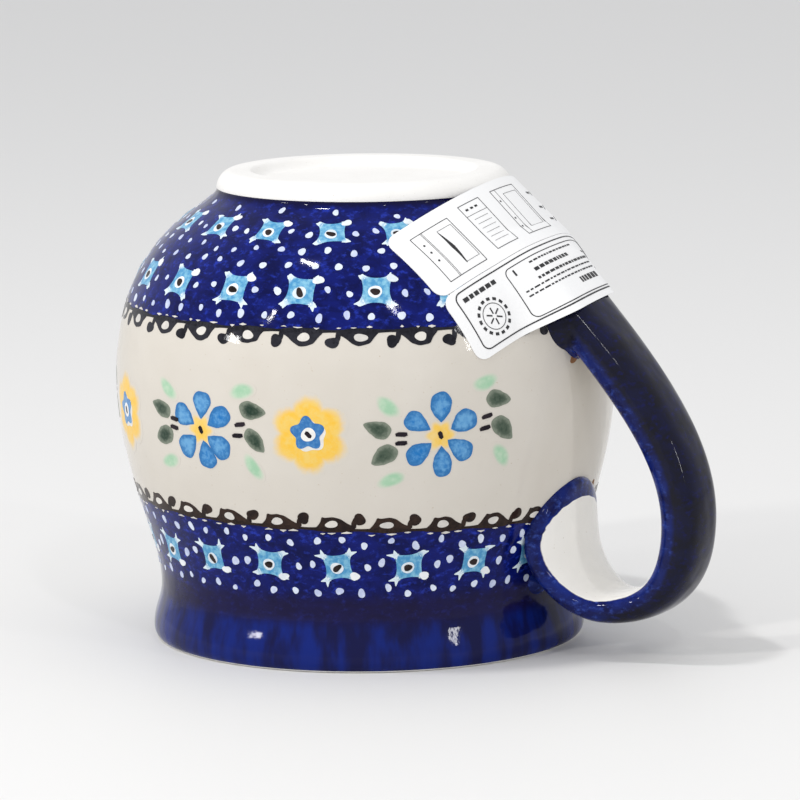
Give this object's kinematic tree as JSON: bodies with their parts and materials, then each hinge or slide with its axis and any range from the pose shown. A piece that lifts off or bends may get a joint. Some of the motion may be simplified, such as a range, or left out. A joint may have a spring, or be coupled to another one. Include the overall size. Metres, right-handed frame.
{
  "type": "stoneware mug",
  "caption": "Round-bellied glazed stoneware mug with a flared lip, a bare foot ring, a strap handle and paper labels, standing on its rim.",
  "frame": {"origin": "centre of the rim's plane, on the mug's axis, which is where it stands", "axes": "+Z from the rim up through the foot ring, because the mug is stored standing on its rim; +X along the handle; a half turn about X puts it the right way up for use"},
  "size_m": [0.1265, 0.1, 0.094],
  "materials": {
    "bare_stoneware": "fired white stoneware, smooth, unglazed, slightly matt",
    "painted_glaze": "clear gloss glaze over hand-stamped cobalt, cream and green decoration",
    "liner_glaze": "warm cream gloss liner glaze",
    "handle_glaze": "cobalt gloss glaze outside, cream on the inner face",
    "label_paper": "smooth white sticker paper with fine black line print"
  },
  "bodies": {
    "root": {"stoneware_body": "bare_stoneware", "outer_glaze": "painted_glaze", "inner_glaze": "liner_glaze", "handle": "handle_glaze", "foot_root_clay": "handle_glaze", "rim_root_clay": "handle_glaze", "care_label": "label_paper", "grade_label": "label_paper"}
  },
  "joints": []
}
